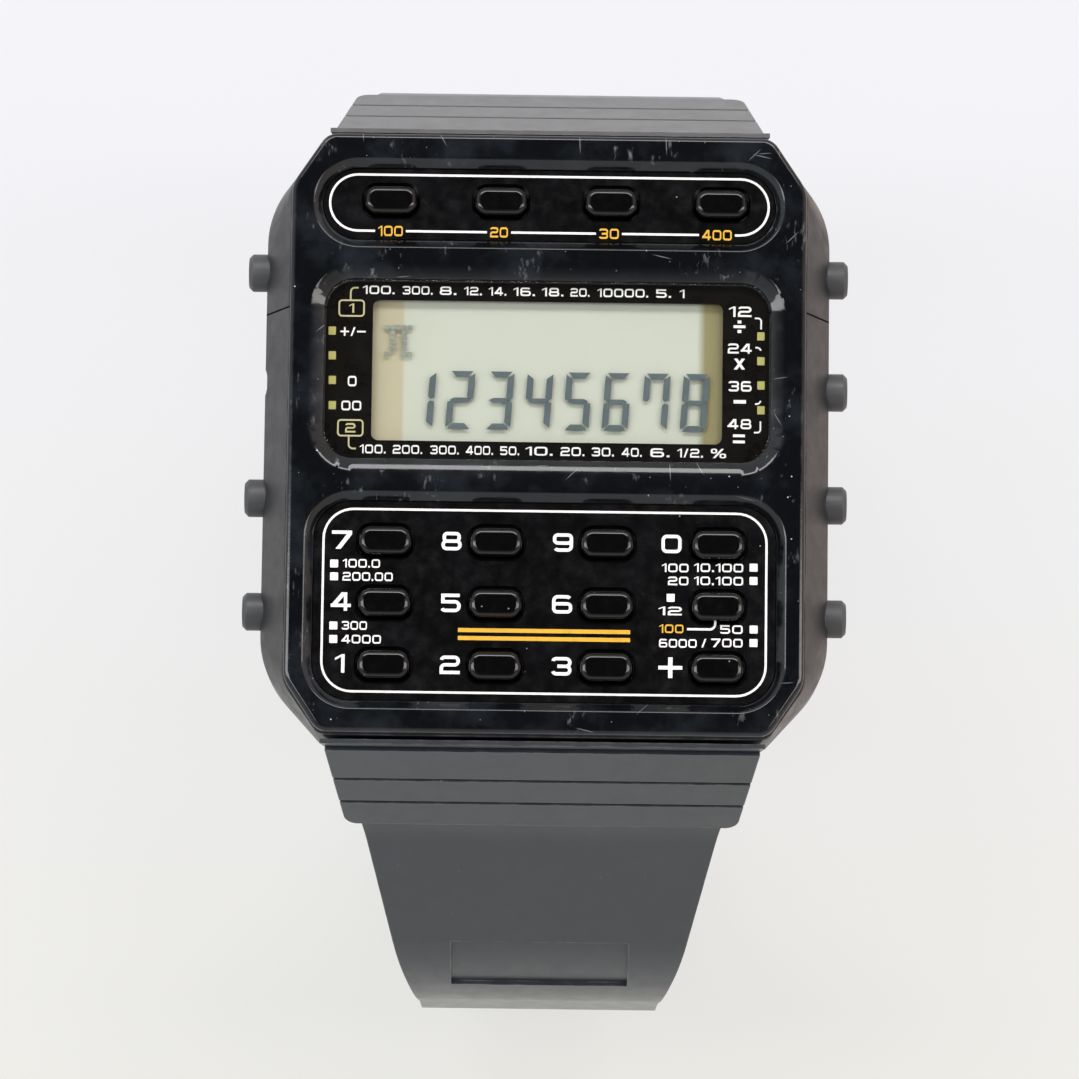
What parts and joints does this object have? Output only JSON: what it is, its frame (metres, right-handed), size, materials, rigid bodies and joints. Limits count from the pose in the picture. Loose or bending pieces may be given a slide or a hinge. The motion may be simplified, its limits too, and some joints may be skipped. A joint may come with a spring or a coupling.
{
  "type": "calculator watch",
  "caption": "Resin calculator wristwatch with a glossy front, two key fields, a digital display, side pushers and an unbuckled ribbed strap.",
  "frame": {"origin": "centre of the case back's outer face", "axes": "+Z out of the display, +Y to 12 o'clock, +X to 3 o'clock"},
  "size_m": [0.0382, 0.0611, 0.0619],
  "materials": {
    "case_resin": "matte",
    "bezel_gloss": "gloss",
    "printed_plate": "satin",
    "key_plastic": "satin",
    "window_glass": "clear",
    "display_glass": "satin",
    "strap_resin": "matte",
    "pusher_plastic": "satin",
    "steel": "brushed",
    "brass": "satin",
    "rubber": "matte",
    "membrane_rubber": "matte",
    "module_plastic": "matte",
    "board_green": "satin",
    "chip_black": "matte",
    "clear_plastic": "clear"
  },
  "bodies": {
    "watch_head": {"case_middle": "case_resin", "front_bezel": "bezel_gloss", "key_plate_upper": "printed_plate", "key_plate_lower": "printed_plate", "display_crystal": "window_glass", "lcd_cell": "display_glass", "display_holder": "module_plastic", "light_guide": "clear_plastic", "zebra_connectors": "rubber", "lamp_bulb": "window_glass", "key_membrane_upper": "membrane_rubber", "key_membrane_lower": "membrane_rubber", "module_frame": "module_plastic", "circuit_board": "board_green", "main_chip": "chip_black", "quartz_can": "steel", "battery_cells": "steel", "battery_clamp": "steel", "clamp_screws": "steel", "buzzer_disc": "brass", "buzzer_contact": "steel", "case_back": "steel", "back_gasket": "rubber", "back_screws": "steel", "side_contacts_right": "steel", "side_contacts_left": "steel", "spring_bar_12": "steel", "spring_bar_6": "steel"},
    "strap_12_body": {"strap_12": "strap_resin", "fixed_keeper": "strap_resin", "buckle_pin": "steel"},
    "strap_6_body": {"strap_6": "strap_resin"},
    "buckle_frame_body": {"buckle_frame": "steel"},
    "buckle_tongue_body": {"buckle_tongue": "steel"},
    "free_keeper_body": {"free_keeper": "strap_resin"},
    "key_upper_1_body": {"key_upper_1": "key_plastic"},
    "key_upper_2_body": {"key_upper_2": "key_plastic"},
    "key_upper_3_body": {"key_upper_3": "key_plastic"},
    "key_upper_4_body": {"key_upper_4": "key_plastic"},
    "key_0_body": {"key_0": "key_plastic"},
    "key_1_body": {"key_1": "key_plastic"},
    "key_2_body": {"key_2": "key_plastic"},
    "key_3_body": {"key_3": "key_plastic"},
    "key_4_body": {"key_4": "key_plastic"},
    "key_5_body": {"key_5": "key_plastic"},
    "key_6_body": {"key_6": "key_plastic"},
    "key_7_body": {"key_7": "key_plastic"},
    "key_8_body": {"key_8": "key_plastic"},
    "key_9_body": {"key_9": "key_plastic"},
    "key_point_body": {"key_point": "key_plastic"},
    "key_plus_body": {"key_plus": "key_plastic"},
    "pusher_right_1_body": {"pusher_right_1": "pusher_plastic"},
    "pusher_right_2_body": {"pusher_right_2": "pusher_plastic"},
    "pusher_right_3_body": {"pusher_right_3": "pusher_plastic"},
    "pusher_right_4_body": {"pusher_right_4": "pusher_plastic"},
    "pusher_left_1_body": {"pusher_left_1": "pusher_plastic"},
    "pusher_left_2_body": {"pusher_left_2": "pusher_plastic"},
    "pusher_left_3_body": {"pusher_left_3": "pusher_plastic"},
    "pusher_left_4_body": {"pusher_left_4": "pusher_plastic"}
  },
  "joints": [
    {"name": "key_upper_1_press", "type": "slide", "parent": "watch_head", "child": "key_upper_1_body", "axis": [0, 0, -1], "range_m": [0, 0.0004], "stiffness_N_per_m": 1500, "deforming": ["key_membrane_upper"]},
    {"name": "key_upper_2_press", "type": "slide", "parent": "watch_head", "child": "key_upper_2_body", "axis": [0, 0, -1], "range_m": [0, 0.0004], "stiffness_N_per_m": 1500, "deforming": ["key_membrane_upper"]},
    {"name": "key_upper_3_press", "type": "slide", "parent": "watch_head", "child": "key_upper_3_body", "axis": [0, 0, -1], "range_m": [0, 0.0004], "stiffness_N_per_m": 1500, "deforming": ["key_membrane_upper"]},
    {"name": "key_upper_4_press", "type": "slide", "parent": "watch_head", "child": "key_upper_4_body", "axis": [0, 0, -1], "range_m": [0, 0.0004], "stiffness_N_per_m": 1500, "deforming": ["key_membrane_upper"]},
    {"name": "key_0_press", "type": "slide", "parent": "watch_head", "child": "key_0_body", "axis": [0, 0, -1], "range_m": [0, 0.0004], "stiffness_N_per_m": 1500, "deforming": ["key_membrane_lower"]},
    {"name": "key_1_press", "type": "slide", "parent": "watch_head", "child": "key_1_body", "axis": [0, 0, -1], "range_m": [0, 0.0004], "stiffness_N_per_m": 1500, "deforming": ["key_membrane_lower"]},
    {"name": "key_2_press", "type": "slide", "parent": "watch_head", "child": "key_2_body", "axis": [0, 0, -1], "range_m": [0, 0.0004], "stiffness_N_per_m": 1500, "deforming": ["key_membrane_lower"]},
    {"name": "key_3_press", "type": "slide", "parent": "watch_head", "child": "key_3_body", "axis": [0, 0, -1], "range_m": [0, 0.0004], "stiffness_N_per_m": 1500, "deforming": ["key_membrane_lower"]},
    {"name": "key_4_press", "type": "slide", "parent": "watch_head", "child": "key_4_body", "axis": [0, 0, -1], "range_m": [0, 0.0004], "stiffness_N_per_m": 1500, "deforming": ["key_membrane_lower"]},
    {"name": "key_5_press", "type": "slide", "parent": "watch_head", "child": "key_5_body", "axis": [0, 0, -1], "range_m": [0, 0.0004], "stiffness_N_per_m": 1500, "deforming": ["key_membrane_lower"]},
    {"name": "key_6_press", "type": "slide", "parent": "watch_head", "child": "key_6_body", "axis": [0, 0, -1], "range_m": [0, 0.0004], "stiffness_N_per_m": 1500, "deforming": ["key_membrane_lower"]},
    {"name": "key_7_press", "type": "slide", "parent": "watch_head", "child": "key_7_body", "axis": [0, 0, -1], "range_m": [0, 0.0004], "stiffness_N_per_m": 1500, "deforming": ["key_membrane_lower"]},
    {"name": "key_8_press", "type": "slide", "parent": "watch_head", "child": "key_8_body", "axis": [0, 0, -1], "range_m": [0, 0.0004], "stiffness_N_per_m": 1500, "deforming": ["key_membrane_lower"]},
    {"name": "key_9_press", "type": "slide", "parent": "watch_head", "child": "key_9_body", "axis": [0, 0, -1], "range_m": [0, 0.0004], "stiffness_N_per_m": 1500, "deforming": ["key_membrane_lower"]},
    {"name": "key_point_press", "type": "slide", "parent": "watch_head", "child": "key_point_body", "axis": [0, 0, -1], "range_m": [0, 0.0004], "stiffness_N_per_m": 1500, "deforming": ["key_membrane_lower"]},
    {"name": "key_plus_press", "type": "slide", "parent": "watch_head", "child": "key_plus_body", "axis": [0, 0, -1], "range_m": [0, 0.0004], "stiffness_N_per_m": 1500, "deforming": ["key_membrane_lower"]},
    {"name": "pusher_right_1_press", "type": "slide", "parent": "watch_head", "child": "pusher_right_1_body", "axis": [-1, 0, 0], "range_m": [0, 0.0006], "stiffness_N_per_m": 2500, "deforming": ["side_contacts_right"]},
    {"name": "pusher_right_2_press", "type": "slide", "parent": "watch_head", "child": "pusher_right_2_body", "axis": [-1, 0, 0], "range_m": [0, 0.0006], "stiffness_N_per_m": 2500, "deforming": ["side_contacts_right"]},
    {"name": "pusher_right_3_press", "type": "slide", "parent": "watch_head", "child": "pusher_right_3_body", "axis": [-1, 0, 0], "range_m": [0, 0.0006], "stiffness_N_per_m": 2500, "deforming": ["side_contacts_right"]},
    {"name": "pusher_right_4_press", "type": "slide", "parent": "watch_head", "child": "pusher_right_4_body", "axis": [-1, 0, 0], "range_m": [0, 0.0006], "stiffness_N_per_m": 2500, "deforming": ["side_contacts_right"]},
    {"name": "pusher_left_1_press", "type": "slide", "parent": "watch_head", "child": "pusher_left_1_body", "axis": [1, 0, 0], "range_m": [0, 0.0006], "stiffness_N_per_m": 2500, "deforming": ["side_contacts_left"]},
    {"name": "pusher_left_2_press", "type": "slide", "parent": "watch_head", "child": "pusher_left_2_body", "axis": [1, 0, 0], "range_m": [0, 0.0006], "stiffness_N_per_m": 2500, "deforming": ["side_contacts_left"]},
    {"name": "pusher_left_3_press", "type": "slide", "parent": "watch_head", "child": "pusher_left_3_body", "axis": [1, 0, 0], "range_m": [0, 0.0006], "stiffness_N_per_m": 2500, "deforming": ["side_contacts_left"]},
    {"name": "pusher_left_4_press", "type": "slide", "parent": "watch_head", "child": "pusher_left_4_body", "axis": [1, 0, 0], "range_m": [0, 0.0006], "stiffness_N_per_m": 2500, "deforming": ["side_contacts_left"]},
    {"name": "strap_12_swing", "type": "hinge", "parent": "watch_head", "child": "strap_12_body", "pos_m": [0, 0.0203, 0.0019], "axis": [-1, 0, 0], "range_deg": [0, 15]},
    {"name": "strap_6_swing", "type": "hinge", "parent": "watch_head", "child": "strap_6_body", "pos_m": [0, -0.0203, 0.0019], "axis": [1, 0, 0], "range_deg": [0, 8]},
    {"name": "buckle_swing", "type": "hinge", "parent": "strap_12_body", "child": "buckle_frame_body", "pos_m": [0, -0.00182, -0.03806], "axis": [1, 0, 0], "range_deg": [-60, 40]},
    {"name": "tongue_swing", "type": "hinge", "parent": "buckle_frame_body", "child": "buckle_tongue_body", "pos_m": [0, -0.00182, -0.03806], "axis": [1, 0, 0], "range_deg": [0, 45]},
    {"name": "keeper_slide", "type": "slide", "parent": "strap_12_body", "child": "free_keeper_body", "axis": [0, 1, 0], "range_m": [-0.0008, 0.0028]}
  ]
}
